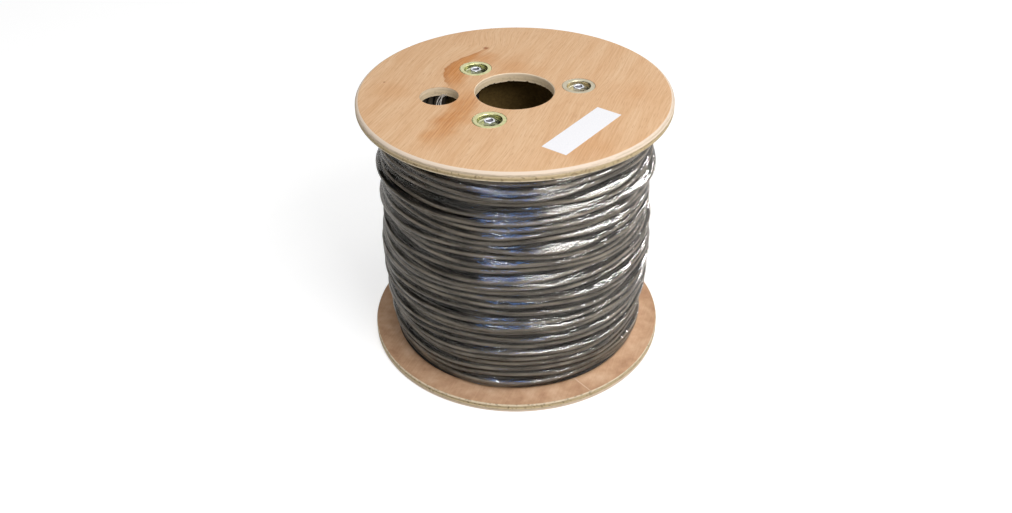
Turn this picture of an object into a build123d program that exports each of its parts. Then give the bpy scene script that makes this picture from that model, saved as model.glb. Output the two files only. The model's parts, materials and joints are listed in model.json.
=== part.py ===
from build123d import *
from math import cos, radians, sin
import os

# A wooden cable drum, full of cable, standing on its bottom flange.
# Two round plywood flanges clamp a cardboard core between them by three tie rods, whose nuts
# sit in cup washers let into the flanges. The cable is wound level, layer on layer, and
# wrapped in clear stretch film. A paper label lies on the top flange.
# Millimetres. The origin is on the drum's axis at the floor, +Z runs up the axis and +X
# passes through the first tie rod, opposite the hole for the cable's inner end.

# Drum
flange_diameter = 400
flange_thickness = 12
overall_height = 360
spindle_bore_diameter = 100
top_edge_rounding = 4.5
top_edge_flats = 3
edge_break = 1.5

# Core tube, clamped between the flanges' inside faces
core_inner_diameter = 176
core_wall = 6

# Hole in the top flange that the cable's inner end is drawn out through
lead_hole_diameter = 49
lead_hole_offset = 95

# Tie rods, nuts and cup washers
rod_count = 3
rod_circle_diameter = 164
rod_diameter = 8
rod_hole_diameter = 9
rod_end_below_nut = 1
nut_across_flats = 13
nut_height = 6.5
nut_edge_break = 0.8
nut_bore_clearance = 0.05
washer_diameter = 42
washer_sheet = 1.2
washer_below_face = 0.2
cup_depth = 7
cup_mouth_diameter = 29.6
cup_corner = 2.4
seat_clearance = 0.4

# Flats that stand for round forms: washers and their seats, rods and their holes, the winding
washer_sides = 24
rod_sides = 12
winding_sides = 40

# Cable as wound
cable_diameter = 8.4
layer_count = 10
end_groove_depth = 3
side_rib_count = 20
side_groove_depth = 3
winding_clearance = 0.2

# Stretch film, all its wraps taken together
film_thickness = 0.4
film_clearance = 0.2
film_margin = 4

# Paper label
label_length = 118
label_width = 34
label_thickness = 0.15
label_offset = 131
label_bearing = -61
label_turn = 45

flange_radius = flange_diameter / 2
bore_radius = spindle_bore_diameter / 2
rod_circle_radius = rod_circle_diameter / 2
rod_radius = rod_diameter / 2
rod_hole_radius = rod_hole_diameter / 2
rim_radius = washer_diameter / 2
cup_mouth_radius = cup_mouth_diameter / 2
core_inner_radius = core_inner_diameter / 2
core_outer_radius = core_inner_radius + core_wall
winding_inner_radius = core_outer_radius + winding_clearance
winding_outer_radius = core_outer_radius + layer_count * cable_diameter
traverse = overall_height - 2 * flange_thickness

# Depths below a flange's outside face
rim_underside = washer_below_face + washer_sheet
cup_floor = washer_below_face + cup_depth
cup_underside = cup_floor + washer_sheet
rod_end = cup_floor - nut_height + rod_end_below_nut

# The two outside faces, each looking out of the drum
top_outside = Plane.XY.offset(overall_height)
bottom_outside = Plane((0, 0, 0), x_dir=(1, 0, 0), z_dir=(0, 0, -1))

pieces = []


def finish(piece, name):
    """Labels a finished piece and keeps it for the export."""
    piece.part.label = name
    pieces.append(piece.part)


def outward(face):
    """The direction out of the drum through a flange's outside face, to sort faces and edges by."""
    return Axis(face.origin, face.z_dir)


def rod_face(outside, number):
    """The plane round one tie rod on a flange's outside face, with x away from the drum's axis."""
    bearing = (number - 1) * 360 / rod_count
    place = outside.origin + Vector(rod_circle_radius, 0, 0).rotate(Axis.Z, bearing)
    return Plane(place, x_dir=Vector(1, 0, 0).rotate(Axis.Z, bearing), z_dir=outside.z_dir)


def eased_corner(rounding, flats):
    """Section points round the disc's outside edge, as (radius, height below the face)."""
    centre = (flange_radius - rounding, -rounding)
    bearings = [radians(90 * step / flats) for step in range(flats + 1)]
    return [(centre[0] + rounding * cos(b), centre[1] + rounding * sin(b)) for b in bearings]


def make_flange(outside, rounding, flats, has_lead_hole):
    """A turned plywood disc with its bore, its rod holes and the washers' seats round them."""
    section = Plane(outside.origin, x_dir=outside.x_dir, z_dir=-outside.y_dir)
    with BuildPart() as flange:
        with BuildSketch(section):
            with BuildLine():
                Polyline(
                    (bore_radius, -flange_thickness),
                    (flange_radius - edge_break, -flange_thickness),
                    (flange_radius, edge_break - flange_thickness),
                    *eased_corner(rounding, flats),
                    (bore_radius, 0),
                    close=True,
                )
            make_face()
        revolve(axis=outward(outside))
        if has_lead_hole:
            with Locations(outside):
                with Locations((-lead_hole_offset, 0)):
                    Hole(lead_hole_diameter / 2)
        seat_cuts = (
            (rim_radius + seat_clearance, washer_sides, rim_underside),
            (cup_mouth_radius + washer_sheet + seat_clearance, washer_sides, cup_underside),
            (rod_hole_radius, rod_sides, flange_thickness),
        )
        for cut_radius, cut_sides, cut_depth in seat_cuts:
            with BuildSketch(outside):
                with PolarLocations(rod_circle_radius, rod_count):
                    RegularPolygon(cut_radius, cut_sides)
            extrude(amount=-cut_depth, mode=Mode.SUBTRACT)
    return flange


def make_cup(mouth, mouth_radius):
    """A plug of the cup's form, its mouth on the given plane and its lower corner bevelled."""
    with BuildPart() as cup:
        with BuildSketch(mouth):
            RegularPolygon(mouth_radius, washer_sides)
        extrude(amount=-cup_depth)
        bottom = cup.faces().sort_by(outward(mouth))[0]
        chamfer(bottom.edges(), cup_corner)
    return cup


def make_cup_washer(face):
    """A pressed steel washer: a flat rim round a cup, with the rod's hole in the cup's floor."""
    rim_underside_plane = face.offset(-rim_underside)
    outer_form = make_cup(rim_underside_plane, cup_mouth_radius + washer_sheet)
    hollow = make_cup(face.offset(-washer_below_face), cup_mouth_radius)
    with BuildPart() as washer:
        with BuildSketch(rim_underside_plane):
            RegularPolygon(rim_radius, washer_sides)
        extrude(amount=washer_sheet)
        add(outer_form.part)
        add(hollow.part, mode=Mode.SUBTRACT)
        with BuildSketch(face.offset(-cup_underside)):
            RegularPolygon(rod_hole_radius, rod_sides)
        extrude(amount=washer_sheet, mode=Mode.SUBTRACT)
    return washer


def make_nut(face):
    """A hexagon nut that stands on the floor of its cup, with its outer edges broken."""
    foot = face.offset(-cup_floor)
    with BuildPart() as nut:
        with BuildSketch(foot):
            RegularPolygon(nut_across_flats / 2, 6, major_radius=False)
        extrude(amount=nut_height)
        outer_face = nut.faces().sort_by(outward(face))[-1]
        chamfer(outer_face.edges(), nut_edge_break)
        with BuildSketch(foot):
            RegularPolygon(rod_radius + nut_bore_clearance, rod_sides)
        extrude(amount=nut_height, mode=Mode.SUBTRACT)
    return nut


# Flanges
top_flange = make_flange(top_outside, top_edge_rounding, top_edge_flats, has_lead_hole=True)
bottom_flange = make_flange(bottom_outside, edge_break, 1, has_lead_hole=False)
finish(top_flange, "top_flange")
finish(bottom_flange, "bottom_flange")

# Core tube
with BuildPart() as core_tube:
    with BuildSketch(Plane.XY.offset(flange_thickness)):
        Circle(core_outer_radius)
        Circle(core_inner_radius, mode=Mode.SUBTRACT)
    extrude(amount=traverse)
finish(core_tube, "core_tube")

# Cable winding: one ring, whose top end rises and falls with the layers of the cable and whose
# outside has a rib for every two turns. Its section is swept round a many-sided path.
half_side = radians(180 / winding_sides)
winding_outer_flat = winding_outer_radius * cos(half_side)
layer_step = (winding_outer_flat - winding_inner_radius) / layer_count
top_of_winding = overall_height - flange_thickness
layer_valley = top_of_winding - end_groove_depth
rib_pitch = traverse / side_rib_count
winding_profile = [
    (winding_inner_radius, flange_thickness),
    (winding_inner_radius, layer_valley),
]
for layer in range(layer_count - 1):
    layer_radius = winding_inner_radius + layer * layer_step
    winding_profile.append((layer_radius + layer_step / 2, top_of_winding))
    winding_profile.append((layer_radius + layer_step, layer_valley))
winding_profile.append((winding_outer_flat - layer_step / 2, top_of_winding))
for rib in range(side_rib_count):
    rib_top = top_of_winding - rib * rib_pitch
    winding_profile.append((winding_outer_flat, rib_top - rib_pitch / 2))
    winding_profile.append((winding_outer_flat - side_groove_depth, rib_top - rib_pitch))
path_corner_radius = winding_inner_radius / cos(half_side)
path_start = Vector(winding_inner_radius, 0, 0)
path_corners = [
    Vector(path_corner_radius, 0, 0).rotate(Axis.Z, (side + 0.5) * 360 / winding_sides)
    for side in range(winding_sides)
]
with BuildPart() as cable_winding:
    with BuildLine() as winding_path:
        Polyline(path_start, *path_corners, path_start)
    with BuildSketch(Plane.XZ):
        with BuildLine():
            Polyline(*winding_profile, close=True)
        make_face()
    sweep(path=winding_path.wires()[0], transition=Transition.RIGHT)
finish(cable_winding, "cable_winding")

# Stretch film round the winding
film_inner_radius = winding_outer_radius + film_clearance
with BuildPart() as stretch_film:
    with BuildSketch(Plane.XY.offset(flange_thickness + film_margin)):
        Circle(film_inner_radius + film_thickness)
        Circle(film_inner_radius, mode=Mode.SUBTRACT)
    extrude(amount=traverse - 2 * film_margin)
finish(stretch_film, "stretch_film")

# Tie rods, with a cup washer and a nut at each end
for number in range(1, rod_count + 1):
    with BuildPart() as tie_rod:
        with BuildSketch(rod_face(top_outside, number).offset(-rod_end)):
            RegularPolygon(rod_radius, rod_sides)
        extrude(amount=-(overall_height - 2 * rod_end))
    finish(tie_rod, f"tie_rod_{number}")
    for side, outside in (("top", top_outside), ("bottom", bottom_outside)):
        face = rod_face(outside, number)
        finish(make_cup_washer(face), f"{side}_washer_{number}")
        finish(make_nut(face), f"{side}_nut_{number}")

# Label
with BuildPart() as label:
    with BuildSketch(Plane.XY.offset(overall_height)):
        with PolarLocations(label_offset, 1, start_angle=label_bearing, rotate=False):
            Rectangle(label_length, label_width, rotation=label_turn)
    extrude(amount=label_thickness)
finish(label, "label")

os.makedirs("parts", exist_ok=True)
for piece in pieces:
    export_step(piece, f"parts/{piece.label}.step")
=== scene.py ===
import json
from math import atan2, cos, hypot, pi, radians, sin, sqrt, tan

import bmesh
import bpy
from mathutils import Matrix, Vector, noise


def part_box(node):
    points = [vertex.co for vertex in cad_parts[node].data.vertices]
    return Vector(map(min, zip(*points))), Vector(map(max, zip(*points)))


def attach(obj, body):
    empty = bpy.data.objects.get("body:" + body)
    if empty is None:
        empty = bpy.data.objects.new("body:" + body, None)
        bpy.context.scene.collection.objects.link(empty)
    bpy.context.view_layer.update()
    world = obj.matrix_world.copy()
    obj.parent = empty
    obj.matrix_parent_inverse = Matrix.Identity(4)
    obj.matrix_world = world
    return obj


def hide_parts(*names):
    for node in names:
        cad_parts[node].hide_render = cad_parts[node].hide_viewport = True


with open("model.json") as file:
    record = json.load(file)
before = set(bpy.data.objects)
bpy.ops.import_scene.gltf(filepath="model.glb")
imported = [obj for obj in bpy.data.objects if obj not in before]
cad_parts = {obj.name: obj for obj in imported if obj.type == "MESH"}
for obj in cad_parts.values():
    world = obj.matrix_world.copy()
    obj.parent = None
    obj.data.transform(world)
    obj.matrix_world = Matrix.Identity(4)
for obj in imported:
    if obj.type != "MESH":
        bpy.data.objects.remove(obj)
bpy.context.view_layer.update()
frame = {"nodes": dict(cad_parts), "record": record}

# The looks of a wooden cable drum, full of black cable under clear stretch film.
# Metres, in the drum's own frame: the axis is Z, the floor is at 0 and X passes through the
# first tie rod.
MM = 0.001

# Sizes read from the frame
mounts = {mount["name"]: mount for mount in frame["record"]["mounts"]}
top_low, top_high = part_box("top_flange")
film_low, film_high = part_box("stretch_film")
washer_low, washer_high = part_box("top_washer_1")
flange_radius = -top_low.x
top_face = top_high.z
top_inside = top_low.z
flange_thickness = top_face - top_inside
bottom_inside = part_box("bottom_flange")[1].z
bore_radius = mounts["spindle_bore"]["dims"]["r_mm"] * MM
lead_hole_radius = mounts["lead_hole"]["dims"]["r_mm"] * MM
lead_hole_x = mounts["lead_hole"]["pos_m"][0]
core_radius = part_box("core_tube")[1].x
film_radius = film_high.x
washer_radius = (washer_high.x - washer_low.x) / 2

# Flange edges
top_edge_rounding = (6 * MM, 5 * MM)
bottom_edge_rounding = (1.5 * MM, 1.5 * MM)
edge_break = 1.5 * MM
bore_break = 1.1 * MM
chip_band = (1.2 * MM, 2.5 * MM)
chip_sizes = (3 * MM, 9 * MM)
chip_depth = 2.6 * MM

# Steps round a turned form
flange_steps = 240
winding_steps = 120
hole_steps = 96
small_steps = 72
seat_steps = 64
rod_steps = 20

# Tie rods, nuts and cup washers
rod_numbers = (1, 2, 3)
rod_radius = 4 * MM
rod_hole_radius = 4.5 * MM
thread_pitch = 1.25 * MM
thread_depth = 0.55 * MM
thread_length = 20 * MM
nut_across_flats = 13 * MM
nut_face_share = 0.96
nut_sink = 0.8 * MM
nut_bore_gap = 0.05 * MM
seat_gap = 0.4 * MM
washer_sheet = 1.2 * MM
washer_below_face = 0.2 * MM
cup_mouth_radius = 14.8 * MM
cup_depth = 7 * MM
cup_corner = 2.4 * MM
mouth_rounding = 1.6 * MM
throat_break = 0.4 * MM

# Cable and film
cable_diameter = 8.4 * MM
cable_radius = cable_diameter / 2
turn_count = 32
turn_drift = 13 * MM
turn_sway = 6.5 * MM
turn_sink = 1.2 * MM
inner_gap = 0.8 * MM
layer_count = 10
points_per_turn = 144
film_steps = 160
film_rows = 290
film_gap = 0.25 * MM
film_thickness = 0.12 * MM
film_crease = 0.25 * MM
crease_size = 5 * MM
loose_size = 60 * MM
film_bend = (6.5 * MM, 26 * MM)
film_span = 24 * MM
film_gloss = (0.007, 0.2)


def add_piece(name, data, material, nodes=(), crease=35):
    """Makes an object of a finished mesh, on the drum's body, that stands for its CAD nodes."""
    piece = bpy.data.objects.new(name, data)
    bpy.context.scene.collection.objects.link(piece)
    data.materials.clear()
    data.materials.append(material)
    data.shade_smooth()
    data.set_sharp_from_angle(angle=radians(crease))
    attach(piece, "root")
    if nodes:
        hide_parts(*nodes)
    return piece


def mesh_from(form, name):
    """Turns a bmesh into mesh data and lets go of it."""
    data = bpy.data.meshes.new(name)
    form.to_mesh(data)
    form.free()
    return data


def turned(profile, steps, centre=(0, 0), keep_open=False):
    """A bmesh turned about an upright axis from a section of (radius, height) points."""
    form = bmesh.new()
    x, y = centre
    section = [form.verts.new((x + radius, y, height)) for radius, height in profile]
    edges = [form.edges.new(pair) for pair in zip(section, section[1:])]
    if not keep_open:
        edges.append(form.edges.new((section[-1], section[0])))
    bmesh.ops.spin(
        form, geom=section + edges, cent=(x, y, 0), axis=(0, 0, 1), angle=2 * pi,
        steps=steps, use_merge=True,
    )
    bmesh.ops.remove_doubles(form, verts=form.verts, dist=0.001 * MM)
    bmesh.ops.recalc_face_normals(form, faces=form.faces)
    return form


def arc(centre, radius, start, end, steps):
    """Points (radius, height) along an arc of a section, between two bearings in degrees."""
    bearings = [radians(start + (end - start) * i / steps) for i in range(steps + 1)]
    return [(centre[0] + radius * cos(b), centre[1] + radius * sin(b)) for b in bearings]


def upright(points, outside, facing):
    """Section points given as (radius, depth below an outside face), as (radius, height)."""
    return [(radius, outside - facing * depth) for radius, depth in points]


def boolean(data, tool, operation):
    """Mesh data after an exact Boolean with a tool, which is used up."""
    kept = bpy.data.objects.new("kept", data)
    cutter = bpy.data.objects.new("cutter", tool)
    for made in (kept, cutter):
        bpy.context.scene.collection.objects.link(made)
    modifier = kept.modifiers.new("cut", "BOOLEAN")
    modifier.object = cutter
    modifier.operation = operation
    modifier.solver = "EXACT"
    evaluated = kept.evaluated_get(bpy.context.evaluated_depsgraph_get())
    result = bpy.data.meshes.new_from_object(evaluated)
    for made in (kept, cutter):
        bpy.data.objects.remove(made)
    return result


def rod_place(number):
    """The centre of a tie rod, read from its node."""
    low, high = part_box(f"tie_rod_{number}")
    middle = (low + high) / 2
    return middle.x, middle.y


# Materials


def srgb(code):
    """A linear colour from an sRGB hex code."""
    parts = [int(code[i:i + 2], 16) / 255 for i in (1, 3, 5)]
    return (*(c / 12.92 if c <= 0.04045 else ((c + 0.055) / 1.055) ** 2.4 for c in parts), 1)


def add_node(tree, kind, inputs=None, stops=(), **settings):
    """Adds a shader node and sets its properties, its inputs and the stops of its ramp.

    An input takes a value, an sRGB code or a link, "From" and "To" take a least and a most
    value, and a stop takes an sRGB code or a grey.
    """
    made = tree.nodes.new("ShaderNode" + kind)
    for key, value in settings.items():
        setattr(made, key, value)
    for socket, value in (inputs or {}).items():
        if socket in ("From", "To"):
            for end, limit in zip(("Min", "Max"), value):
                made.inputs[f"{socket} {end}"].default_value = limit
            continue
        if isinstance(value, bpy.types.Node):
            value = next(output for output in value.outputs if output.enabled)
        if isinstance(value, bpy.types.NodeSocket):
            tree.links.new(value, made.inputs[socket])
        else:
            made.inputs[socket].default_value = srgb(value) if isinstance(value, str) else value
    if stops:
        elements = made.color_ramp.elements
        while len(elements) > 1:
            elements.remove(elements[-1])
        for i, (position, shade) in enumerate(stops):
            element = elements.new(position) if i else elements[0]
            element.position = position
            element.color = srgb(shade) if isinstance(shade, str) else (shade, shade, shade, 1)
    return made


def new_material(name):
    """An empty node material, its node tree and its object coordinates."""
    material = bpy.data.materials.new(name)
    material.use_nodes = True
    tree = material.node_tree
    tree.nodes.clear()
    return material, tree, add_node(tree, "TexCoord").outputs["Object"]


def drawn_out(tree, vector, lengths, **inputs):
    """Noise whose features are drawn out to a length along each of two axes."""
    scale = (1 / lengths[0], 1 / lengths[1], 0)
    vector = add_node(tree, "Mapping", {"Vector": vector, "Scale": scale})
    return add_node(tree, "TexNoise", {"Vector": vector, "Scale": 1.0, **inputs})


def spread_noise(tree, vector, size, detail, span, reach):
    """Noise with features of a size, whose span of values is spread over another reach."""
    found = add_node(tree, "TexNoise", {"Vector": vector, "Scale": 1 / size, "Detail": detail})
    return add_node(tree, "MapRange", {"Value": found, "From": span, "To": reach})


def rolled_out(tree, place):
    """The winding's outside laid flat, as metres round it and metres up it."""
    axes = add_node(tree, "SeparateXYZ", {0: place})
    bearing = add_node(
        tree, "Math", {0: axes.outputs["Y"], 1: axes.outputs["X"]}, operation="ARCTAN2"
    )
    around = add_node(tree, "Math", {0: bearing, 1: film_radius}, operation="MULTIPLY")
    return add_node(tree, "CombineXYZ", {"X": around, "Y": axes.outputs["Z"]})


def surface(tree, colour, roughness, relief, inputs):
    """Ends a material in one surface, with its fine relief as (height, strength, depth)."""
    height, strength, depth = relief
    bump = add_node(tree, "Bump", {"Height": height, "Strength": strength, "Distance": depth})
    look = {"Base Color": colour, "Roughness": roughness, "Normal": bump, **inputs}
    add_node(tree, "OutputMaterial", {"Surface": add_node(tree, "BsdfPrincipled", look)})


# Plywood: rotary-cut veneer, sanded, unvarnished. Lengths of the pattern's features along and
# across the grain. A noise that is spread has its feature size, detail, span and reach.
grain_bearing = 62
grain_streak = (60 * MM, 1.9 * MM)
grain_pore = (16 * MM, 0.9 * MM)
grain_band = (220 * MM, 22 * MM)
grain_wander = (140 * MM, 1.0, (0, 1), (-9 * MM, 9 * MM))
knot_parting = (60 * MM, 13 * MM)
figure_fade = (4 * MM, 32 * MM)
figure_ragged = (30 * MM, 3.0, (0, 1), (-24 * MM, 24 * MM))
leaf_ragged = (12 * MM, 3.0, (0, 1), (-5 * MM, 5 * MM))
leaf_edge = 2 * MM
leaf_margin = 9 * MM
leaf_fade = (-9 * MM, 7 * MM)
veneer_thickness = 0.3 * MM
back_skin = 0.1 * MM
back_blotch = 26 * MM
edge_streaks_per_metre = (90, 90, 1400)
edge_fleck = (3.2 * MM, 3.0, (0.55, 0.66), (0, 0.7))
ply_bounds = (0.3, 2.7, 5.0, 7.3, 9.6, 11.7)
glue_line = 0.22
glue_gaps = (28 * MM, 3.0, (0.36, 0.52), (0, 1))
glue_shown = (0.25, 0.45, 1.0)
hole_wall_reach = (flange_radius - 50 * MM, flange_radius - 30 * MM)

# Places on the face in millimetres, as (y, x) or (y, strength), and in metres as (x, y)
figure_line = ((-135, -118), (-97, -107), (-70, -86), (-44, -74), (0, -62), (40, -62))
figure_strength = ((-135, 0), (-97, 0.7), (-60, 0.85), (-20, 0.75), (14, 0.3), (40, 0))
leaf_left = (
    (10, -78), (40, -85), (62, -86.5), (82, -78.7), (95, -69.6), (105, -57.4), (120, -33),
    (131, -20),
)
leaf_right = ((10, -68), (28, -60), (65, -54), (98, -40.6), (118, -26.8), (131, -18))
leaf_strength = ((10, 0), (36, 0.8), (60, 1), (131, 1), (134, 0))
warm_patches = (
    ((6 * MM, 66 * MM), 46 * MM, 0.42), ((-24 * MM, 100 * MM), 24 * MM, 0.6),
    ((60 * MM, -150 * MM), 52 * MM, 0.3), ((150 * MM, -30 * MM), 50 * MM, 0.22),
    ((-150 * MM, 20 * MM), 44 * MM, 0.25),
)
knot_place = (-20 * MM, 131 * MM)
knots = ((knot_place, 5 * MM, "#9A5A34"), ((-161 * MM, 50 * MM), 2.2 * MM, "#A3683F"))


def along_y(tree, axes, table, unit):
    """A value that follows a table of (y in millimetres, value) pairs, as a material's nodes."""
    first, last = table[0][0], table[-1][0]
    least = min(value for y, value in table)
    most = max(value for y, value in table)
    share = add_node(
        tree, "MapRange", {"Value": axes.outputs["Y"], "From": (first * MM, last * MM)}
    )
    stops = [((y - first) / (last - first), (value - least) / (most - least)) for y, value in table]
    read = add_node(tree, "ValToRGB", {"Fac": share}, stops=stops)
    return add_node(tree, "MapRange", {"Value": read, "To": (least * unit, most * unit)})


def plywood(name, outside, facing, scratch=None):
    """Plywood sawn to a disc: face veneer with grain and a figured patch, plies on its edges."""
    material, tree, place = new_material(name)
    axes = add_node(tree, "SeparateXYZ", {0: place})
    depth = add_node(tree, "Math", {0: axes.outputs["Z"], 1: outside}, operation="SUBTRACT")
    depth = add_node(tree, "Math", {0: depth, 1: -facing / flange_thickness}, operation="MULTIPLY")

    # Grain: lines run along the bearing, wander a little, and part round the knot
    turned_place = add_node(
        tree, "Mapping", {"Vector": place, "Rotation": (0, 0, -radians(grain_bearing))}
    )
    wander = spread_noise(tree, turned_place, *grain_wander)
    from_knot = add_node(
        tree, "VectorMath", {0: place, 1: (*knot_place, outside)}, operation="DISTANCE"
    )
    near_knot = add_node(
        tree, "MapRange",
        {"Value": from_knot, "From": (0.0, knot_parting[0]), "To": (knot_parting[1], 0.0)},
        interpolation_type="SMOOTHSTEP",
    )
    shift = add_node(tree, "Math", {0: wander, 1: near_knot}, operation="ADD")
    shift = add_node(tree, "CombineXYZ", {"Y": shift})
    along = add_node(tree, "VectorMath", {0: turned_place, 1: shift}, operation="ADD")
    streak = drawn_out(tree, along, grain_streak, Detail=4.0, Roughness=0.65)
    band = drawn_out(tree, along, grain_band, Detail=2.0)
    pore = drawn_out(tree, along, grain_pore, Detail=1.0)
    pore = add_node(tree, "MapRange", {"Value": pore, "From": (0.6, 0.74)})
    face = add_node(
        tree, "ValToRGB", {"Fac": band},
        stops=((0.3, "#E6C29C"), (0.5, "#DFB68D"), (0.72, "#D6A87D")),
    )
    streaked = add_node(
        tree, "ValToRGB", {"Fac": streak},
        stops=((0.34, "#CB9C72"), (0.47, "#DDB288"), (0.62, "#E8C49E")),
    )
    face = add_node(tree, "Mix", {0: 0.5, 6: face, 7: streaked}, data_type="RGBA")

    # Figured patch: orange-brown heartwood in a leaf from the knot, and a softer sweep below it
    figured = add_node(
        tree, "ValToRGB", {"Fac": streak},
        stops=((0.36, "#BC7A44"), (0.5, "#CA8B52"), (0.66, "#D89E66")),
    )
    figure_wobble = spread_noise(tree, along, *figure_ragged)
    centre = along_y(tree, axes, figure_line, MM)
    off_line = add_node(tree, "Math", {0: axes.outputs["X"], 1: centre}, operation="SUBTRACT")
    off_line = add_node(tree, "Math", {0: off_line, 1: figure_wobble}, operation="ADD")
    off_line = add_node(tree, "Math", {0: off_line}, operation="ABSOLUTE")
    sweep = add_node(
        tree, "MapRange", {"Value": off_line, "From": figure_fade, "To": (1.0, 0.0)},
        interpolation_type="SMOOTHSTEP",
    )
    strength = along_y(tree, axes, figure_strength, 1)
    sweep = add_node(tree, "Math", {0: sweep, 1: strength}, operation="MULTIPLY")
    face = add_node(tree, "Mix", {0: sweep, 6: face, 7: figured}, data_type="RGBA")

    leaf_wobble = spread_noise(tree, along, *leaf_ragged)
    wobbled = add_node(tree, "Math", {0: axes.outputs["X"], 1: leaf_wobble}, operation="ADD")
    inside_left, past_right = (
        add_node(tree, "Math", {0: wobbled, 1: along_y(tree, axes, side, MM)}, operation="SUBTRACT")
        for side in (leaf_left, leaf_right)
    )
    leaf = add_node(tree, "MapRange", {"Value": inside_left, "From": (0.0, leaf_edge)})
    tapered = add_node(
        tree, "MapRange", {"Value": past_right, "From": leaf_fade, "To": (1.0, 0.0)},
        interpolation_type="SMOOTHSTEP",
    )
    leaf = add_node(tree, "Math", {0: leaf, 1: tapered}, operation="MULTIPLY")
    strength = along_y(tree, axes, leaf_strength, 1)
    leaf = add_node(tree, "Math", {0: leaf, 1: strength}, operation="MULTIPLY")
    dark_margin = add_node(
        tree, "MapRange", {"Value": inside_left, "From": (0.0, leaf_margin), "To": (0.75, 0.0)}
    )
    leaf_wood = add_node(tree, "Mix", {0: dark_margin, 6: figured, 7: "#AE7343"}, data_type="RGBA")
    face = add_node(tree, "Mix", {0: leaf, 6: face, 7: leaf_wood}, data_type="RGBA")
    face = add_node(tree, "Mix", {0: pore, 6: face, 7: "#CA9C75"}, data_type="RGBA")
    for spot, reach, share in warm_patches:
        near = add_node(tree, "VectorMath", {0: place, 1: (*spot, outside)}, operation="DISTANCE")
        near = add_node(tree, "Math", {0: near, 1: figure_wobble}, operation="ADD")
        near = add_node(
            tree, "MapRange", {"Value": near, "From": (0.0, reach), "To": (share, 0.0)},
            interpolation_type="SMOOTHSTEP",
        )
        face = add_node(tree, "Mix", {0: near, 6: face, 7: figured}, data_type="RGBA")
    for spot, size, shade in knots:
        near = add_node(tree, "VectorMath", {0: place, 1: (*spot, outside)}, operation="DISTANCE")
        near = add_node(
            tree, "MapRange", {"Value": near, "From": (size * 0.3, size), "To": (0.85, 0.0)}
        )
        face = add_node(tree, "Mix", {0: near, 6: face, 7: shade}, data_type="RGBA")

    # Plies on the sawn edges: crossed grain, pale along the fibres and brown on their ends
    normal = add_node(tree, "NewGeometry").outputs["Normal"]
    grain = radians(grain_bearing)
    ends = []
    for direction in ((cos(grain), sin(grain), 0), (-sin(grain), cos(grain), 0)):
        cut = add_node(tree, "VectorMath", {0: normal, 1: direction}, operation="DOT_PRODUCT")
        ends.append(add_node(tree, "Math", {0: cut}, operation="ABSOLUTE"))
    whole = flange_thickness / MM
    bounds = [bound / whole for bound in ply_bounds]
    crossed = add_node(
        tree, "ValToRGB", {"Fac": depth},
        stops=[(0, 0)] + [(bound, (i + 1) % 2) for i, bound in enumerate(bounds)],
    )
    crossed.color_ramp.interpolation = "CONSTANT"
    end_cut = add_node(tree, "Mix", {0: crossed, 2: ends[0], 3: ends[1]}, data_type="FLOAT")
    edge_streak = add_node(tree, "Mapping", {"Vector": place, "Scale": edge_streaks_per_metre})
    edge_streak = add_node(
        tree, "TexNoise", {"Vector": edge_streak, "Scale": 1.0, "Detail": 4.0, "Roughness": 0.7}
    )
    browned = add_node(tree, "Math", {0: end_cut, 1: edge_streak}, operation="MULTIPLY")
    browned = add_node(
        tree, "MapRange", {"Value": browned, "From": (0.22, 0.56), "To": (0.0, 0.62)}
    )
    # Painted light and shade on the sawn edge: the plies nearest the outside face are painted
    # palest, as if lit where the edge is rounded, and the middle plies darker, a painted shade on
    # its upright part; the steps are partly the plies' own colours
    ply = add_node(
        tree, "ValToRGB", {"Fac": depth},
        stops=(
            (0.0, "#EBD9C6"), (0.38, "#E6D2BC"), (0.46, "#D3BE9A"),
            (0.76, "#C8B38B"), (0.84, "#DCCAAB"), (1.0, "#E0D0B6"),
        ),
    )
    ply = add_node(tree, "Mix", {0: browned, 6: ply, 7: "#8E7850"}, data_type="RGBA")
    fleck = spread_noise(tree, place, *edge_fleck)
    low_down = add_node(tree, "MapRange", {"Value": depth, "From": (0.3, 0.6)})
    fleck = add_node(tree, "Math", {0: fleck, 1: low_down}, operation="MULTIPLY")
    ply = add_node(tree, "Mix", {0: fleck, 6: ply, 7: "#5F4A2C"}, data_type="RGBA")
    half_line = glue_line / 2 / whole
    glue_stops = [(0, 0)]
    for bound, shown in zip(bounds[2:], glue_shown):
        glue_stops += [(bound - half_line, shown), (bound + half_line, 0)]
    glue = add_node(tree, "ValToRGB", {"Fac": depth}, stops=glue_stops)
    glue.color_ramp.interpolation = "CONSTANT"
    gaps = spread_noise(tree, place, *glue_gaps)
    glue = add_node(tree, "Math", {0: glue, 1: gaps}, operation="MULTIPLY")
    ply = add_node(tree, "Mix", {0: glue, 6: ply, 7: "#6B4E30"}, data_type="RGBA")

    # Painted light: the holes' walls are painted paler and warmer than the rim
    from_axis = add_node(tree, "VectorMath", {0: place, 1: (1, 1, 0)}, operation="MULTIPLY")
    from_axis = add_node(tree, "VectorMath", {0: from_axis}, operation="LENGTH")
    painted_light_on_hole_walls = add_node(
        tree, "MapRange", {"Value": from_axis, "From": hole_wall_reach, "To": (0.6, 0.0)}
    )
    ply = add_node(tree, "Mix", {0: painted_light_on_hole_walls, 6: ply, 7: "#F8E2C0"}, data_type="RGBA")

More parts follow.
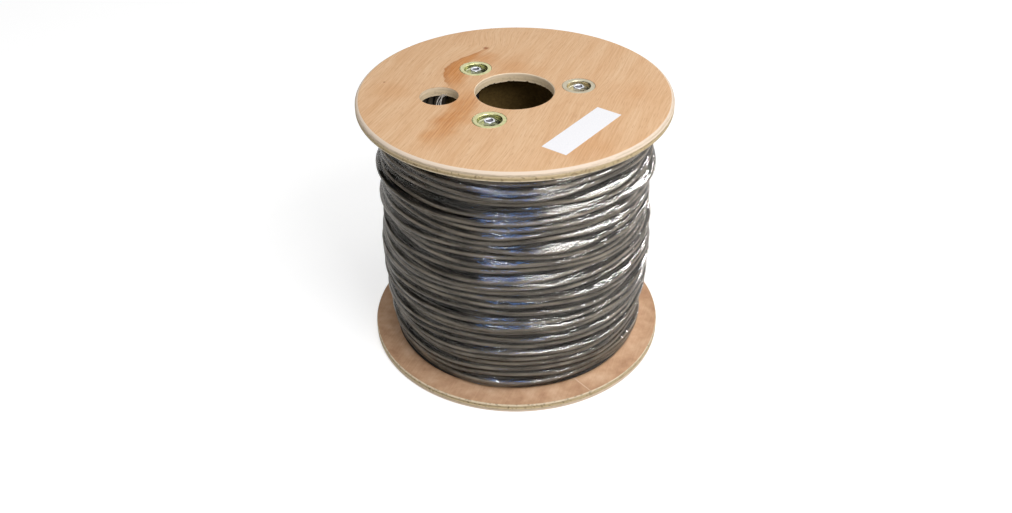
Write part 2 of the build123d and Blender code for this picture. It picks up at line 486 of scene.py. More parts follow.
    # The inside face is a darker, redder back veneer
    blotch = add_node(
        tree, "TexNoise",
        {"Vector": place, "Scale": 1 / back_blotch, "Detail": 4.0, "Roughness": 0.6},
    )
    blotch = add_node(tree, "Mix", {0: 0.25, 2: blotch, 3: streak}, data_type="FLOAT")
    back = add_node(
        tree, "ValToRGB", {"Fac": blotch},
        stops=((0.34, "#A88062"), (0.5, "#BE9878"), (0.66, "#CDAA8C")),
    )
    if scratch:
        (x0, y0), (x1, y1), width = scratch
        along_scratch = add_node(
            tree, "Mapping",
            {
                "Vector": place, "Location": (x0, y0, 0),
                "Rotation": (0, 0, atan2(y1 - y0, x1 - x0)),
            },
            vector_type="TEXTURE",
        )
        parts = add_node(tree, "SeparateXYZ", {0: along_scratch})
        aside = add_node(tree, "Math", {0: parts.outputs["Y"]}, operation="ABSOLUTE")
        aside = add_node(
            tree, "MapRange", {"Value": aside, "From": (width / 2, width), "To": (0.7, 0.0)}
        )
        inside = add_node(tree, "Math", {0: parts.outputs["X"], 1: 0.0}, operation="GREATER_THAN")
        drawn = add_node(tree, "Math", {0: aside, 1: inside}, operation="MULTIPLY")
        back = add_node(tree, "Mix", {0: drawn, 6: back, 7: "#E3CDB6"}, data_type="RGBA")
    is_face = add_node(
        tree, "Math", {0: depth, 1: veneer_thickness / flange_thickness}, operation="LESS_THAN"
    )
    is_back = add_node(
        tree, "Math", {0: depth, 1: 1 - back_skin / flange_thickness}, operation="GREATER_THAN"
    )
    colour = add_node(tree, "Mix", {0: is_face, 6: ply, 7: face}, data_type="RGBA")
    colour = add_node(tree, "Mix", {0: is_back, 6: colour, 7: back}, data_type="RGBA")
    relief = add_node(tree, "Mix", {0: is_face, 2: edge_streak, 3: streak}, data_type="FLOAT")
    surface(
        tree, colour, 0.65, (relief, 0.35, 0.25 * MM), {"IOR": 1.45, "Specular IOR Level": 0.25}
    )
    return material


def cardboard():
    """Core tube of spirally wound cardboard: matt brown, with the edges of its wound strips and
    painted shade at its top end.
    """
    strip_rise = 120 * MM
    shaded_end_reach = (18 * MM, 6 * MM)
    material, tree, place = new_material("spiral_wound_cardboard")
    axes = add_node(tree, "SeparateXYZ", {0: place})
    bearing = add_node(
        tree, "Math", {0: axes.outputs["Y"], 1: axes.outputs["X"]}, operation="ARCTAN2"
    )
    turn = add_node(tree, "Math", {0: bearing, 1: 1 / (2 * pi)}, operation="MULTIPLY")
    height = add_node(tree, "Math", {0: axes.outputs["Z"], 1: 1 / strip_rise}, operation="MULTIPLY")
    strip = add_node(tree, "Math", {0: turn, 1: height}, operation="ADD")
    strip = add_node(tree, "Math", {0: strip}, operation="FRACT")
    seam = add_node(tree, "MapRange", {"Value": strip, "From": (0.0, 0.02), "To": (0.8, 0.0)})
    fibre = add_node(
        tree, "TexNoise", {"Vector": place, "Scale": 1 / (4 * MM), "Detail": 5.0, "Roughness": 0.7}
    )
    colour = add_node(tree, "ValToRGB", {"Fac": fibre}, stops=((0.3, "#644E2A"), (0.7, "#826A3B")))
    colour = add_node(tree, "Mix", {0: seam, 6: colour, 7: "#2C1F10"}, data_type="RGBA")
    # Painted shade: the tube darkens towards its top end, under the top flange
    painted_shade_at_end = add_node(
        tree, "MapRange",
        {"Value": axes.outputs["Z"], "From": (top_inside - shaded_end_reach[0], top_inside - shaded_end_reach[1])},
    )
    colour = add_node(tree, "Mix", {0: painted_shade_at_end, 6: colour, 7: "#1E180E"}, data_type="RGBA")
    surface(tree, colour, 0.9, (fibre, 0.4, 0.3 * MM), {"IOR": 1.45, "Specular IOR Level": 0.2})
    return material


def cable_jacket(name, shades):
    """Extruded PVC jacket: satin black, with dust and scuffs where a turn looks out of the drum and
    painted shade on its sides.
    """
    dust_streak = (55 * MM, 6 * MM)
    material, tree, place = new_material(name)
    outward_way = add_node(tree, "VectorMath", {0: place, 1: (1, 1, 0)}, operation="MULTIPLY")
    outward_way = add_node(tree, "VectorMath", {0: outward_way}, operation="NORMALIZE")
    normal = add_node(tree, "NewGeometry").outputs["Normal"]
    facing_out = add_node(tree, "VectorMath", {0: normal, 1: outward_way}, operation="DOT_PRODUCT")
    # Painted shade: a turn's sides, in the valleys between turns, take the near-black first shade;
    # its outward side takes a lighter colour, partly dust and partly painted light
    unshaded_outward_side = add_node(
        tree, "MapRange", {"Value": facing_out, "From": (0.62, 0.98)},
        interpolation_type="SMOOTHSTEP",
    )
    dust = drawn_out(tree, rolled_out(tree, place), dust_streak, Detail=5.0, Roughness=0.7)
    dust_and_painted_light = add_node(tree, "ValToRGB", {"Fac": dust}, stops=((0.35, shades[1]), (0.65, shades[2])))
    colour = add_node(tree, "Mix", {0: unshaded_outward_side, 6: shades[0], 7: dust_and_painted_light}, data_type="RGBA")
    fine = add_node(tree, "TexNoise", {"Vector": place, "Scale": 1 / (1.2 * MM), "Detail": 2.0})
    surface(tree, colour, 0.5, (fine, 0.15, 0.1 * MM), {"IOR": 1.53, "Specular IOR Level": 0.2})
    return material


def stretch_film():
    """Polyethylene stretch film, several clear wraps: glossy, and puckered along the turns."""
    pucker_size, pucker_depth = (30 * MM, 2.8 * MM), 0.9 * MM
    fold_size, fold_depth = (75 * MM, 9 * MM), 3.2 * MM
    haze_size = (42 * MM, 3.2 * MM)
    material, tree, place = new_material("polyethylene_stretch_film")
    unrolled = rolled_out(tree, place)
    fold = drawn_out(tree, unrolled, fold_size, Detail=1.0, Distortion=0.6)
    pucker = drawn_out(tree, unrolled, pucker_size, Detail=3.0, Roughness=0.6, Distortion=0.4)
    bump = add_node(tree, "Bump", {"Height": fold, "Strength": 1.0, "Distance": fold_depth})
    bump = add_node(
        tree, "Bump",
        {"Height": pucker, "Strength": 1.0, "Distance": pucker_depth, "Normal": bump},
    )
    glancing = add_node(tree, "LayerWeight", {"Blend": 0.5, "Normal": bump}).outputs["Facing"]
    glancing = add_node(tree, "Math", {0: glancing, 1: 4.0}, operation="POWER")
    mirrored = add_node(tree, "MapRange", {"Value": glancing, "To": film_gloss})
    cloud = drawn_out(tree, unrolled, haze_size, Detail=3.0)
    cloud = add_node(tree, "MapRange", {"Value": cloud, "From": (0.46, 0.74), "To": (0.0, 0.3)})
    clear = add_node(tree, "BsdfTransparent", {"Color": (0.96, 0.96, 0.96, 1)})
    haze = add_node(tree, "BsdfDiffuse", {"Color": "#7D776E", "Normal": bump})
    body = add_node(tree, "MixShader", {0: cloud, 1: clear, 2: haze})
    gloss = add_node(
        tree, "BsdfPrincipled",
        {"Base Color": "#F6F3EE", "Metallic": 1.0, "Roughness": 0.08, "Normal": bump},
    )
    film = add_node(tree, "MixShader", {0: mirrored, 1: body, 2: gloss})
    add_node(tree, "OutputMaterial", {"Surface": film})
    return material


def twisted_film():
    """Stretch film twisted to a cord: milky grey and satin, because its folds scatter light."""
    material, tree, place = new_material("twisted_polyethylene_film")
    fold = add_node(tree, "TexNoise", {"Vector": place, "Scale": 1 / (4 * MM), "Detail": 3.0})
    colour = add_node(
        tree, "ValToRGB", {"Fac": fold}, stops=((0.35, "#8E8983"), (0.65, "#BDB8B2"))
    )
    surface(tree, colour, 0.3, (fold, 0.4, 0.3 * MM), {"IOR": 1.51})
    return material


def zinc(name, shades, roughness, cup_painted_shade=None):
    """Zinc plate on pressed or turned steel, with the cloudy colour of its passivation and, when
    given, a painted shade in its cup.
    """
    material, tree, place = new_material(name)
    cloud = add_node(tree, "TexNoise", {"Vector": place, "Scale": 1 / (9 * MM), "Detail": 2.0})
    colour = add_node(
        tree, "ValToRGB", {"Fac": cloud},
        stops=[(0.32 + 0.36 * i / (len(shades) - 1), shade) for i, shade in enumerate(shades)],
    )
    if cup_painted_shade:
        # Inside a cup the plate is painted darker, a painted shade: its depth is read from the
        # drum's mid-height outwards
        height = add_node(tree, "SeparateXYZ", {0: place}).outputs["Z"]
        off_middle = add_node(tree, "Math", {0: height, 1: top_face / 2}, operation="SUBTRACT")
        off_middle = add_node(tree, "Math", {0: off_middle}, operation="ABSOLUTE")
        cup_span = (top_face / 2 - 3 * MM, top_face / 2 - 1.2 * MM)
        painted_shade_in_cup = add_node(
            tree, "MapRange", {"Value": off_middle, "From": cup_span, "To": (1.0, 0.0)}
        )
        colour = add_node(tree, "Mix", {0: painted_shade_in_cup, 6: colour, 7: cup_painted_shade}, data_type="RGBA")
    fine = add_node(tree, "TexNoise", {"Vector": place, "Scale": 1 / (0.8 * MM), "Detail": 2.0})
    surface(tree, colour, roughness, (fine, 0.1, 0.1 * MM), {"Metallic": 1.0})
    return material


def paper():
    """Plain label paper: white, matt, with a faint fibre."""
    material, tree, place = new_material("uncoated_label_paper")
    fibre = add_node(tree, "TexNoise", {"Vector": place, "Scale": 1 / (1.5 * MM), "Detail": 3.0})
    colour = add_node(tree, "ValToRGB", {"Fac": fibre}, stops=((0.3, "#EFEFF3"), (0.7, "#FBFAFC")))
    surface(tree, colour, 0.7, (fibre, 0.2, 0.05 * MM), {"IOR": 1.5, "Specular IOR Level": 0.3})
    return material


# Flanges


def flange_section(rounding, rounding_steps):
    """Half a flange's section, as (radius, depth below its outside face), from the bore round."""
    rim = flange_radius
    deep = flange_thickness
    reach, drop = rounding
    rounded = [
        (rim - reach + reach * across, drop + drop * down)
        for across, down in arc((0, 0), 1, -90, 0, rounding_steps)
    ]
    broken = arc((rim - edge_break, deep - edge_break), edge_break, 0, 90, 3)
    return [
        (bore_radius, deep),
        (bore_radius, deep - chip_band[0]),
        (bore_radius, bore_break),
        (bore_radius + bore_break, 0),
        *rounded,
        *broken,
        (bore_radius + chip_band[1], deep),
    ]


def seat_cutter(centre, outside, facing):
    """The stepped hole that a cup washer and its rod take out of a flange."""
    beyond = 1 * MM
    rim_radius = washer_radius + seat_gap
    cup_radius = cup_mouth_radius + washer_sheet + seat_gap
    rim_depth = washer_below_face + washer_sheet
    cup_bottom = washer_below_face + cup_depth + washer_sheet
    steps = [
        (0, -beyond), (rim_radius, -beyond), (rim_radius, rim_depth), (cup_radius, rim_depth),
        (cup_radius, cup_bottom), (rod_hole_radius, cup_bottom),
        (rod_hole_radius, flange_thickness + beyond), (0, flange_thickness + beyond),
    ]
    return turned(upright(steps, outside, facing), seat_steps, centre, keep_open=True)


def make_flange(name, outside, facing, rounding, rounding_steps, material):
    """A flange with its true edge roundings, chipped bore, washer seats and rod holes."""
    form = turned(upright(flange_section(rounding, rounding_steps), outside, facing), flange_steps)
    inside = outside - facing * flange_thickness
    near = 0.1 * MM
    for vertex in form.verts:
        if abs(vertex.co.z - inside) < near and hypot(*vertex.co.xy) < bore_radius + near:
            small, large = (noise.noise(vertex.co / size) for size in chip_sizes)
            vertex.co.z += facing * max(0.0, small + 0.7 * large + 0.1) * chip_depth
    data = mesh_from(form, name)
    for number in rod_numbers:
        cutter = mesh_from(seat_cutter(rod_place(number), outside, facing), "seat")
        data = boolean(data, cutter, "DIFFERENCE")
    if facing > 0:
        hole = bmesh.new()
        bmesh.ops.create_cone(
            hole, cap_ends=True, segments=hole_steps, radius1=lead_hole_radius,
            radius2=lead_hole_radius, depth=2 * flange_thickness,
            matrix=Matrix.Translation((lead_hole_x, 0, outside - flange_thickness / 2)),
        )
        data = boolean(data, mesh_from(hole, "lead hole"), "DIFFERENCE")
    return add_piece(name, data, material, [name.replace("_turned", "")], crease=30)


# A pale scratch that runs from one place through another and off the rim, with its width
bottom_scratch = ((52 * MM, -157 * MM), (69 * MM, -185 * MM), 0.6 * MM)
make_flange(
    "top_flange_turned", top_face, 1, top_edge_rounding, 10,
    plywood("plywood_top", top_face, 1),
)
make_flange(
    "bottom_flange_turned", 0.0, -1, bottom_edge_rounding, 3,
    plywood("plywood_bottom", 0.0, -1, bottom_scratch),
)

# Cup washers, nuts and rods
yellow_shades = ("#BEBE88", "#D1D09C", "#D8D3A4", "#C4C88F")
# The yellow washers' last colour is a painted shade for the hollow of their cups
yellow_zinc = zinc("yellow_zinc_plate", yellow_shades, 0.24, "#B6B798")
# The first washers are painted brownish, a painted reflection of the wood round them
wood_tinted_zinc = zinc("yellow_zinc_painted_wood_reflection", ("#BDB196", "#CAC0A8", "#C4BEA4"), 0.28)
bright_zinc = zinc("bright_zinc_plate", ("#D3D5DA", "#E6E7EC", "#DCDFE6"), 0.22)
# The rods' plate is painted dark, a painted shade for the hollow of each nut where a rod's end
# shows
dark_rod_zinc = zinc("zinc_plate_painted_hollow_shade", ("#6C6A74", "#85838C", "#77757F"), 0.4)


def make_washer(side, number, outside, facing, material):
    """A pressed cup washer: rounded rim, rolled mouth, round-cornered cup and its rod hole."""
    name = f"{side}_washer_{number}"
    face, sheet = washer_below_face, washer_sheet
    floor = face + cup_depth
    throat = cup_mouth_radius + sheet
    inner = (
        arc((cup_mouth_radius + mouth_rounding, face + mouth_rounding), mouth_rounding, 270, 180, 5)
        + arc((cup_mouth_radius - cup_corner, floor - cup_corner), cup_corner, 0, 90, 5)
    )
    outer_corner = cup_corner + sheet
    outer = (
        arc((cup_mouth_radius - cup_corner, floor - cup_corner), outer_corner, 90, 0, 5)
        + [(throat, face + sheet + throat_break), (throat + throat_break, face + sheet)]
    )
    rim = arc((washer_radius - sheet / 2, face + sheet / 2), sheet / 2, 90, -90, 5)
    section = inner + [(rod_hole_radius, floor), (rod_hole_radius, floor + sheet)] + outer + rim
    form = turned(upright(section, outside, facing), small_steps, rod_place(number))
    add_piece(f"{name}_pressed", mesh_from(form, name), material, [name], crease=40)


def make_nut(side, number, facing):
    """A hexagon nut with the turned chamfer of its corners and a countersunk bore."""
    name = f"{side}_nut_{number}"
    low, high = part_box(name)
    x, y = rod_place(number)
    height = high.z - low.z
    middle = (low.z + high.z) / 2
    corner = nut_across_flats / 2 / cos(radians(30))
    prism = bmesh.new()
    bmesh.ops.create_cone(
        prism, cap_ends=True, segments=6, radius1=corner, radius2=corner, depth=height,
        matrix=Matrix.Translation((x, y, middle)) @ Matrix.Rotation(atan2(y, x), 4, "Z"),
    )
    bore = rod_radius + nut_bore_gap
    flat = nut_across_flats / 2 * nut_face_share
    drop = (corner - flat) * tan(radians(30))
    past_corner = corner + 0.2 * MM
    blank = [
        (bore, nut_sink), (bore + nut_sink, 0.0), (flat, 0.0), (past_corner, drop + 0.1 * MM),
        (past_corner, height), (bore, height),
    ]
    top = high.z if facing > 0 else low.z
    turned_blank = turned(upright(blank, top, facing), small_steps, (x, y))
    data = boolean(
        mesh_from(prism, name), mesh_from(turned_blank, "blank"), "INTERSECT"
    )
    add_piece(f"{name}_machined", data, bright_zinc, [name], crease=25)


for side, outside, facing in (("top", top_face, 1), ("bottom", 0.0, -1)):
    for number in rod_numbers:
        washer_zinc = wood_tinted_zinc if number == 1 else yellow_zinc
        make_washer(side, number, outside, facing, washer_zinc)
        make_nut(side, number, facing)

for number in rod_numbers:
    low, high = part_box(f"tie_rod_{number}")
    core = rod_radius - thread_depth
    groove_count = round(thread_length / thread_pitch)
    section = [(0.0, low.z), (core, low.z)]
    for end, way in ((low.z, 1), (high.z, -1)):
        grooves = []
        for i in range(groove_count):
            at = end + way * i * thread_pitch
            grooves += [
                (rod_radius, at + way * thread_pitch * 0.5), (core, at + way * thread_pitch)
            ]
        if way < 0:
            grooves.reverse()
        section += grooves
    section += [(core, high.z), (0.0, high.z)]
    form = turned(section, rod_steps, rod_place(number), keep_open=True)
    add_piece(
        f"tie_rod_{number}_threaded", mesh_from(form, "rod"), dark_rod_zinc,
        [f"tie_rod_{number}"], crease=25,
    )

# Cable winding. Its outside, as (height, radius): it swells in the middle and narrows at the foot
barrel = (
    (12, 171), (40, 173.5), (71, 175.8), (92, 178.3), (130, 181), (172, 180.5),
    (205, 177), (231, 176.8), (268, 178.5), (300, 177), (348, 175),
)
# Noises that move the turns: rise from turn to turn, scale and place in the noise
slow_drift = (0.62, 1.0, (0, 0, 0))
quick_drift = (0.8, 1.7, (9, 0, 0))
sway_noise = (0.8, 1.2, (0, 5, 0))
traverse_low = bottom_inside + cable_radius
traverse_high = top_inside - cable_radius


def eased(table, at):
    """A value read from a table of (place, value) pairs, with smooth steps between them."""
    for (start, value), (end, next_value) in zip(table, table[1:]):
        if at <= end:
            share = max(0.0, (at - start) / (end - start))
            return value + (next_value - value) * share * share * (3 - 2 * share)
    return table[-1][1]


def outer_radius(height):
    """The winding's outside radius at a height."""
    return eased(barrel, height / MM) * MM


def ring_noise(turn, lift, scale, shift):
    """Noise at a point of the cable, that runs on from turn to turn."""
    bearing = 2 * pi * turn
    return noise.noise(Vector((cos(bearing), sin(bearing), turn * lift)) * scale + Vector(shift))


def drifted_height(turn):
    """The height at which some turns lay the cable: an even rise from the first, with drift."""
    drift = ring_noise(turn, *slow_drift) + 0.6 * ring_noise(turn, *quick_drift)
    ends = min(1.0, max(0.0, min(turn - 0.9, turn_count - turn)))
    risen = max(0.0, (turn - 0.9) / (turn_count - 0.9))
    return traverse_low + (traverse_high - traverse_low) * risen + ends * drift * turn_drift


def pushed_apart(heights):
    """Heights of the turns at one bearing, with those that would overlap laid side by side."""
    crowds = []
    for turn, height in enumerate(heights):
        crowds.append((height - turn * cable_diameter, 1))
        while len(crowds) > 1 and crowds[-2][0] > crowds[-1][0]:
            (low, low_count), (high, high_count) = crowds[-2:]
            count = low_count + high_count
            crowds[-2:] = [((low * low_count + high * high_count) / count, count)]
    feet = [foot for foot, count in crowds for _ in range(count)]
    highest_foot = traverse_high - (turn_count - 1) * cable_diameter
    return [
        min(max(foot, traverse_low), highest_foot) + turn * cable_diameter
        for turn, foot in enumerate(feet)
    ]


def lay_turns():
    """Heights of the outer layer's centre line, step by step from the first turn to the last."""
    rows = [
        pushed_apart([drifted_height(turn + step / points_per_turn) for turn in range(turn_count)])
        for step in range(points_per_turn)
    ]
    run = [rows[step][turn] for turn in range(turn_count) for step in range(points_per_turn)]
    nearby = [run[max(0, place - 3):place + 4] for place in range(len(run))]
    return [sum(near) / len(near) for near in nearby]


turn_heights = lay_turns()


def turn_point(turn, step):
    """The outer layer's cable at a step of a turn, as (radius, height) of its centre."""
    height = turn_heights[turn * points_per_turn + step]
    sway = ring_noise(turn + step / points_per_turn, *sway_noise)
    return outer_radius(height) - cable_radius - turn_sink + sway * turn_sway, height


def on_ring(bearing, radius, height):
    """A place from its bearing in radians, radius and height."""
    return radius * cos(bearing), radius * sin(bearing), height


def cable_curve(name, points, diameter):
    """Mesh data of a round cable with capped ends along a line of points."""
    curve = bpy.data.curves.new(name, "CURVE")
    curve.dimensions = "3D"
    curve.bevel_depth = diameter / 2
    curve.bevel_resolution = 3
    curve.use_fill_caps = True
    spline = curve.splines.new("POLY")
    spline.points.add(len(points) - 1)
    for point, place in zip(spline.points, points):
        point.co = (*place, 1)
    holder = bpy.data.objects.new(name, curve)
    data = bpy.data.meshes.new_from_object(holder)
    bpy.data.objects.remove(holder)
    return data


# The outer turns: the painted shade of their sides, then the dust and painted light of their
# outward side
jacket = cable_jacket("pvc_jacket_dust_and_painted_shade", ("#14120E", "#3F3A33", "#958A7A"))
# The layers beneath take a near-black copy of the jacket: painted shade for the turns seen deep in
# the gaps
shaded_inner_jacket = cable_jacket("pvc_jacket_painted_shade", ("#100F0C", "#100F0C", "#161511"))
turn_table = [
    [turn_point(turn, step) for turn in range(turn_count)] for step in range(points_per_turn)
]
outer_points = [
    on_ring(2 * pi * step / points_per_turn, *turn_table[step][turn])
    for turn in range(turn_count) for step in range(points_per_turn)
]
add_piece(
    "outer_cable_turns", cable_curve("outer_cable_turns", outer_points, cable_diameter),
    jacket, crease=60,
)

# The cable's outer end, laid over the outer turns: bearing, height and how far it stands proud
end_heights = (
    (-66, 285), (-57, 281), (-50, 279.5), (-42, 276), (-30, 271), (-21, 268), (10, 270), (80, 288)
)
end_lifts = ((-66, -2.5), (-57, 0.8), (-48, 3.0), (-20, 4.2), (20, 4.2), (60, 3.0), (80, -2.5))


def end_point(bearing):
    """The centre of the cable's outer end at a bearing in degrees, as (radius, height)."""
    height = eased(end_heights, bearing) * MM
    return outer_radius(height) - cable_radius - film_gap + eased(end_lifts, bearing) * MM, height


end_start, end_stop = end_heights[0][0], end_heights[-1][0]
end_points = [
    on_ring(radians(bearing), *end_point(bearing)) for bearing in range(end_start, end_stop + 1, 2)
]
add_piece(
    "cable_outer_end", cable_curve("cable_outer_end", end_points, cable_diameter),
    jacket, crease=60,
)

# The layers under the outer one, as one turned body with their turns on its outside and ends
inner_profile = [(core_radius + 0.2 * MM, bottom_inside)]
for end, way in ((bottom_inside, 1), (top_inside, -1)):
    rings = []
    for layer in range(layer_count - 1):
        middle = core_radius + (layer + 0.5) * cable_diameter
        for part in range(5):
            b = radians(180 - 45 * part)
            rings.append((middle + cable_radius * cos(b), end + way * cable_radius * (1 - sin(b))))
    if way < 0:
        rings.reverse()
        ridge = (traverse_high - traverse_low) / turn_count
        for i in range(turn_count):
            foot = traverse_low + i * ridge
            for part in (0.25, 0.5, 0.75, 1.0):
                at = foot + part * ridge
                back_off = cable_diameter + inner_gap + cable_radius * (1 - sin(pi * part))
                inner_profile.append((outer_radius(at) - back_off, at))
    inner_profile += rings
inner_profile.append((core_radius + 0.2 * MM, top_inside))
form = turned(inner_profile, winding_steps)
add_piece(
    "inner_cable_layers", mesh_from(form, "inner_cable_layers"), shaded_inner_jacket,
    ["cable_winding"], crease=60,
)


def film_column(bearing):
    """The film's radii up one bearing: drawn tight over the turns, it bridges what lies between."""
    at = (bearing % (2 * pi)) / (2 * pi) * points_per_turn
    step = int(at) % points_per_turn
    tops = list(turn_table[step])
    degrees_round = (bearing / pi * 180 + 180) % 360 - 180
    if end_start <= degrees_round <= end_stop:
        tops.append(end_point(degrees_round))
    row_height = (film_high.z - film_low.z) / film_rows
    under = []
    for row in range(film_rows + 1):
        height = film_low.z + row * row_height
        reach = outer_radius(height) - cable_diameter
        for radius, middle in tops:
            aside = abs(height - middle)
            if aside < cable_radius:
                reach = max(reach, radius + sqrt(cable_radius ** 2 - aside ** 2))
        under.append(reach + film_gap)
    ring = Vector((cos(bearing), sin(bearing), 0))
    drawn = [bridged(under, row_height, bend) for bend in film_bend]
    radii = []
    for row, (tight, loose) in enumerate(zip(*drawn)):
        place = ring * 1.5 + Vector((3, 0, (film_low.z + row * row_height) / loose_size))
        looseness = min(1.0, max(0.0, 0.4 + 1.7 * noise.noise(place)))
        radii.append(tight + (loose - tight) * looseness)
    return radii


def bridged(under, row_height, bend):
    """Radii of a sheet drawn over others, that dips between them no tighter than its bend."""
    span = round(film_span / row_height)
    drops = [(offset, (offset * row_height) ** 2 / (2 * bend)) for offset in range(-span, span + 1)]
    raised = [
        max(under[row + offset] - drop for offset, drop in drops if 0 <= row + offset <= film_rows)
        for row in range(film_rows + 1)
    ]
    return [
        min(raised[row + offset] + drop for offset, drop in drops if 0 <= row + offset <= film_rows)
        for row in range(film_rows + 1)
    ]


film_columns = [film_column(2 * pi * column / film_steps) for column in range(film_steps)]
form = bmesh.new()
column = [
    form.verts.new((1, 0, film_low.z + (film_high.z - film_low.z) * i / film_rows))
    for i in range(film_rows + 1)
]
column_edges = [form.edges.new(pair) for pair in zip(column, column[1:])]
bmesh.ops.spin(
    form, geom=column + column_edges, cent=(0, 0, 0), axis=(0, 0, 1), angle=2 * pi,
    steps=film_steps, use_merge=True,
)
bmesh.ops.remove_doubles(form, verts=form.verts, dist=0.001 * MM)
for vertex in form.verts:
    bearing = atan2(vertex.co.y, vertex.co.x)
    around = round(bearing / (2 * pi) * film_steps) % film_steps
    row = round((vertex.co.z - film_low.z) / (film_high.z - film_low.z) * film_rows)
    ring = Vector((cos(bearing), sin(bearing), 0))
    crease = noise.noise(ring * 6 + Vector((0, 0, vertex.co.z / crease_size))) * film_crease
    vertex.co = on_ring(bearing, film_columns[around][row] + crease, vertex.co.z)
bmesh.ops.recalc_face_normals(form, faces=form.faces)
bmesh.ops.solidify(form, geom=form.faces, thickness=film_thickness)
add_piece(
    "stretch_film_wrap", mesh_from(form, "stretch_film_wrap"), stretch_film(),
    ["stretch_film"], crease=80,
)

# A twisted tail of film shows in the lead hole, lying on the ends of the turns. Each strand has
# its place beside the hole's middle, its swing aside and its thickness, in millimetres.
tail_strands = ((-5.0, 13, 1.3), (-2.8, 17, 1.0), (0.5, 8, 1.9))
tail_start, tail_length = -12, 38
tail_rise, tail_arch = 1.0, 3.2
tail_steps = 16
film_tail = twisted_film()
for strand, (aside, swing, thickness) in enumerate(tail_strands, start=1):
    name = f"film_tail_{strand}"
    strand_points = [
        (
            lead_hole_x + (aside + swing * share ** 1.6) * MM,
            (tail_start + tail_length * share) * MM,
            top_inside + (tail_rise + tail_arch * sin(pi * share)) * MM,
        )
        for share in (step / tail_steps for step in range(tail_steps + 1))
    ]
    data = cable_curve(name, strand_points, thickness * MM)
    add_piece(name, data, film_tail, crease=60)

# CAD nodes that keep their own shape
for name, material in (("core_tube", cardboard()), ("label", paper())):
    slots = frame["nodes"][name].data.materials
    slots.clear()
    slots.append(material)

# Camera, as fitted to the photograph in flange radii
scale_radius = 200 * MM
image_width, image_height = 1012, 513
camera_turn = radians(8)
camera_rise = 0.5870
camera_distance = 7.0243 * scale_radius
camera_focal = 1036.7
camera_roll = -0.0106
aim = (-0.0212 * scale_radius, 0.8726 * scale_radius)
principal = (512.46, 213.35)

back = Vector((
    -sin(camera_turn) * cos(camera_rise), -cos(camera_turn) * cos(camera_rise), sin(camera_rise)
))
right = Vector((cos(camera_turn), -sin(camera_turn), 0))
up = back.cross(right)
rolled_right = cos(camera_roll) * right + sin(camera_roll) * up
rolled_up = -sin(camera_roll) * right + cos(camera_roll) * up
eye = aim[0] * right + Vector((0, 0, aim[1])) + camera_distance * back
camera_data = bpy.data.cameras.new("camera")
camera_data.sensor_width = 36
camera_data.lens = 36 * camera_focal / image_width
camera_data.shift_x = (image_width / 2 - principal[0]) / image_width
camera_data.shift_y = (principal[1] - image_height / 2) / image_width
camera = bpy.data.objects.new("camera", camera_data)
bpy.context.scene.collection.objects.link(camera)
camera.matrix_world = Matrix.Translation(eye) @ Matrix(
    (rolled_right, rolled_up, back)
).transposed().to_4x4()
bpy.context.scene.camera = camera

# Floor, world and lamps
floor_radius = 12
floor_drop = 0.1 * MM
floor_shade = (0.75, 0.75, 0.75, 1)
floor_glow = 0.53
world_light = 0.43


def plainly_seen(tree):
    """1 for a ray from the camera, a reflection or a clear body, and 0 for one that lights."""
    paths = add_node(tree, "LightPath")
    seen = add_node(
        tree, "Math",
        {0: paths.outputs["Is Camera Ray"], 1: paths.outputs["Is Glossy Ray"]}, operation="MAXIMUM",
    )
    return add_node(
        tree, "Math", {0: seen, 1: paths.outputs["Is Transmission Ray"]}, operation="MAXIMUM"
    )


# The camera sees the floor near white, with the shadow that falls on it
floor_material, tree, place = new_material("matt_white_floor")
strength = add_node(tree, "Math", {0: plainly_seen(tree), 1: floor_glow}, operation="MULTIPLY")
matt = add_node(tree, "BsdfDiffuse", {"Color": floor_shade})
light = add_node(tree, "Emission", {"Color": (1, 1, 1, 1), "Strength": strength})
both = add_node(tree, "AddShader", {0: matt, 1: light})
add_node(tree, "OutputMaterial", {"Surface": both})
floor_form = bmesh.new()
bmesh.ops.create_circle(floor_form, cap_ends=True, segments=hole_steps, radius=floor_radius)
floor_data = mesh_from(floor_form, "floor")
floor = bpy.data.objects.new("floor", floor_data)
floor_data.materials.append(floor_material)
bpy.context.scene.collection.objects.link(floor)
floor.location.z = -floor_drop

world = bpy.data.worlds.new("studio")
bpy.context.scene.world = world
world.use_nodes = True
tree = world.node_tree
tree.nodes.clear()
level = add_node(tree, "MapRange", {"Value": plainly_seen(tree), "To": (world_light, 1.0)})
sky = add_node(tree, "Background", {"Color": (1, 1, 1, 1), "Strength": level})
add_node(tree, "OutputWorld", {"Surface": sky})

film_only = bpy.data.collections.new("film_only")
film_only.objects.link(bpy.data.objects["stretch_film_wrap"])


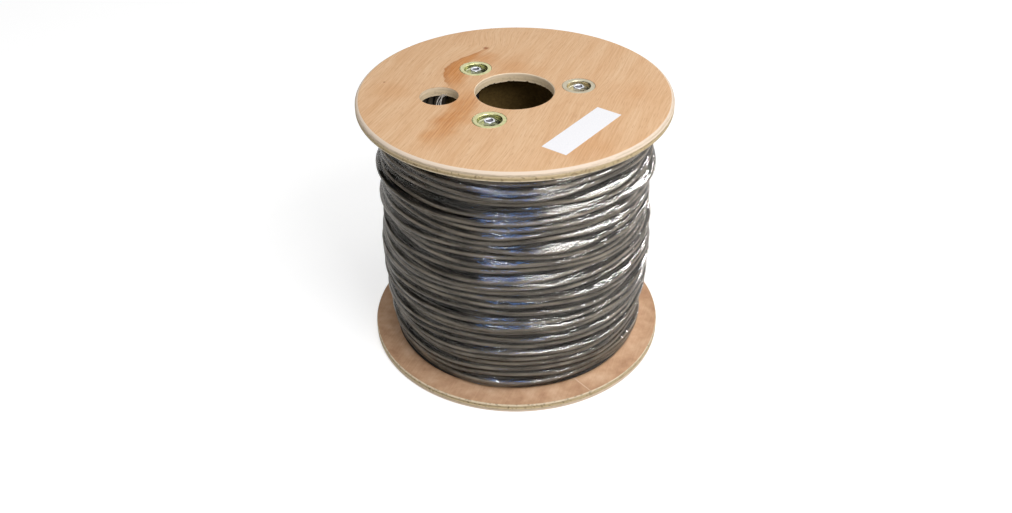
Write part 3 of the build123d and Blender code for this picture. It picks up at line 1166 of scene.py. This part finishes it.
def add_window(name, bearing, rise, distance, size, radiance, colour="#FFFFFF", lights=True):
    """A rectangular lamp that faces the drum's middle, placed by its bearing from the camera."""
    turn = camera_turn - radians(bearing)
    away = Vector((
        -sin(turn) * cos(radians(rise)), -cos(turn) * cos(radians(rise)), sin(radians(rise))
    ))
    lamp = bpy.data.lights.new(name, "AREA")
    lamp.shape = "RECTANGLE"
    lamp.size, lamp.size_y = size
    lamp.energy = radiance * pi * size[0] * size[1]
    lamp.color = srgb(colour)[:3]
    holder = bpy.data.objects.new(name, lamp)
    bpy.context.scene.collection.objects.link(holder)
    place = Vector((0, 0, top_face / 2)) + away * distance
    turned_to = away.to_track_quat("Z", "Y").to_matrix().to_4x4()
    holder.matrix_world = Matrix.Translation(place) @ turned_to
    if not lights:
        holder.visible_diffuse = False
        holder.light_linking.receiver_collection = film_only


add_window("key", 36, 45, 2.4, (1.2, 1.2), 6.4)
add_window("right_wall", 82, 30, 2.6, (2.4, 1.4), 0.95)
add_window("overhead", -20, 80, 2.4, (1.8, 1.8), 0.85)
# Panes that glint on the film alone and leave the light level as it is
right_panes = ((24, 85), (44, 112), (66, 125), (90, 135), (116, 125), (142, 60))
for number, (bearing, radiance) in enumerate(right_panes, start=1):
    add_window(f"right_pane_{number}", bearing, 19, 2.5, (0.7, 1.5), radiance, lights=False)
add_window("front_window", -6, 20, 2.6, (1.9, 1.3), 21, "#5F93EA", lights=False)
add_window("front_pane", -15, 16, 2.5, (0.3, 0.6), 95, "#EEF3FF", lights=False)


def add_flag(name, first_bearing, last_bearing, distance, low, high):
    """A curved black flag that only reflections see, between two bearings from the camera."""
    form = bmesh.new()
    turn = camera_turn - radians(first_bearing)
    start = (-sin(turn) * distance, -cos(turn) * distance)
    posts = [form.verts.new((*start, height)) for height in (low, high)]
    post = form.edges.new(posts)
    bmesh.ops.spin(
        form, geom=posts + [post], cent=(0, 0, 0), axis=(0, 0, 1),
        angle=radians(last_bearing - first_bearing), steps=24,
    )
    data = mesh_from(form, name)
    material, tree, place = new_material("black_studio_cloth")
    cloth = add_node(tree, "BsdfDiffuse", {"Color": (0.01, 0.01, 0.01, 1)})
    add_node(tree, "OutputMaterial", {"Surface": cloth})
    data.materials.append(material)
    flag = bpy.data.objects.new(name, data)
    bpy.context.scene.collection.objects.link(flag)
    flag.visible_camera = False
    flag.visible_diffuse = False
    flag.visible_transmission = False
    flag.visible_shadow = False


add_flag("left_flag", -166, -34, 1.6, 0.0, 2.4)

bpy.context.scene.view_settings.view_transform = "Standard"
